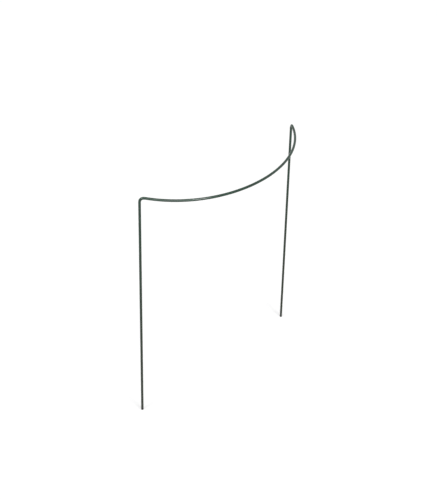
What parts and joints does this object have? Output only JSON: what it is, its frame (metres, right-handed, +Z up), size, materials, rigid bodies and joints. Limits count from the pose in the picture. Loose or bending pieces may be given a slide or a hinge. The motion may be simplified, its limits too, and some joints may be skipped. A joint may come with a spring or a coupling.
{
  "type": "arched plant support",
  "caption": "Bow-shaped plant support of green plastic-coated steel wire, with straight legs that push into the soil and a curved top that holds stems upright.",
  "frame": {"origin": "at the level of the leg tips, below the centre of the support's outline in plan, halfway between the legs", "axes": "+Z up along the legs, +X from the left leg to the right leg, and -Y the way that the bow bulges; the support is the same on both sides of X = 0"},
  "size_m": [0.3804, 0.0922, 0.4487],
  "materials": {
    "drawn_steel": "bright drawn wire",
    "green_plastic": "glossy dark green extruded plastic",
    "dark_plastic": "satin green-black sealing plastic"
  },
  "bodies": {
    "root": {"core_wire": "drawn_steel", "green_coating": "green_plastic", "left_end_cap": "dark_plastic", "right_end_cap": "dark_plastic"}
  },
  "joints": []
}
